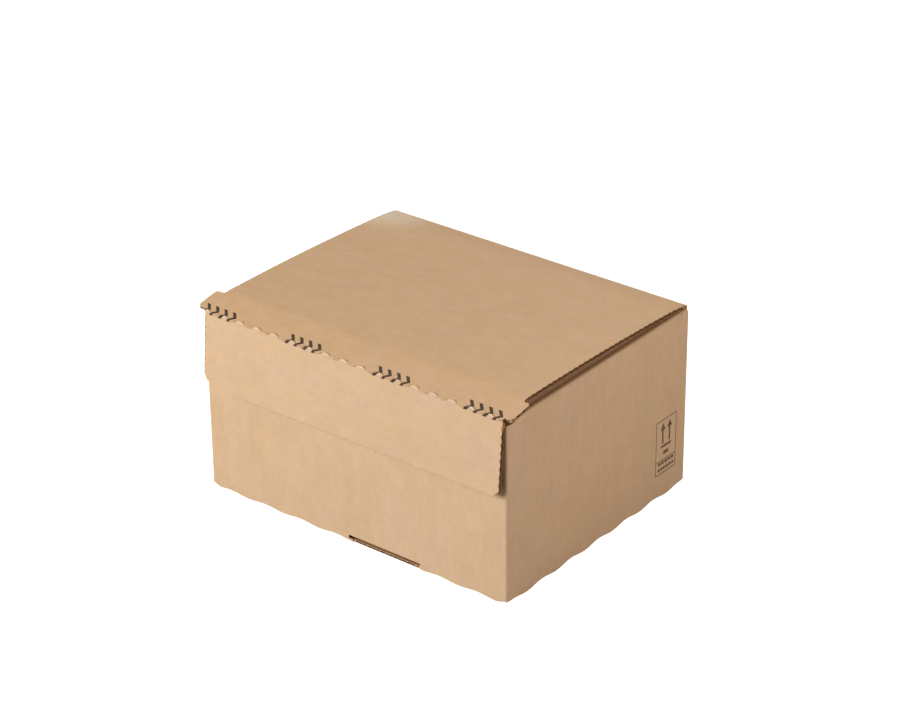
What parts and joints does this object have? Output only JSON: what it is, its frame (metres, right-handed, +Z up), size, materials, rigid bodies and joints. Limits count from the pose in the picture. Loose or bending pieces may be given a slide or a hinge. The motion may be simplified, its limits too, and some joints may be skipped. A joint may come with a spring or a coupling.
{
  "type": "corrugated mailer box",
  "caption": "Rectangular corrugated board mailer box with a hinged lid, a wave-cut tear strip with pull ears and a hanging front sealing flap.",
  "frame": {"origin": "middle of the box body's underside, on the surface that it stands on", "axes": "+Z up, -Y to the front wall with the hanging flap, +X to the right wall along the box's long side"},
  "size_m": [0.3015, 0.2385, 0.1611],
  "materials": {
    "body_board": "uncoated kraft liner, matt",
    "lid_board": "uncoated kraft liner, matt",
    "tear_tape": "thin film tape, satin",
    "adhesive": "soft pressure-sensitive adhesive, satin",
    "release_paper": "siliconised paper, satin"
  },
  "bodies": {
    "body": {"box_body": "body_board"},
    "lid": {"lid": "lid_board", "tear_tape": "tear_tape"},
    "flap": {"front_flap": "lid_board", "adhesive_strip": "adhesive", "release_liner": "release_paper"}
  },
  "joints": [
    {"name": "lid_crease", "type": "hinge", "parent": "body", "child": "lid", "pos_m": [0, 0.11385, 0.15304], "axis": [-1, 0, 0], "range_deg": [0, 180]},
    {"name": "flap_crease", "type": "hinge", "parent": "lid", "child": "flap", "pos_m": [0, -0.11791, 0.15606], "axis": [-1, 0, 0], "range_deg": [0, 75]}
  ]
}
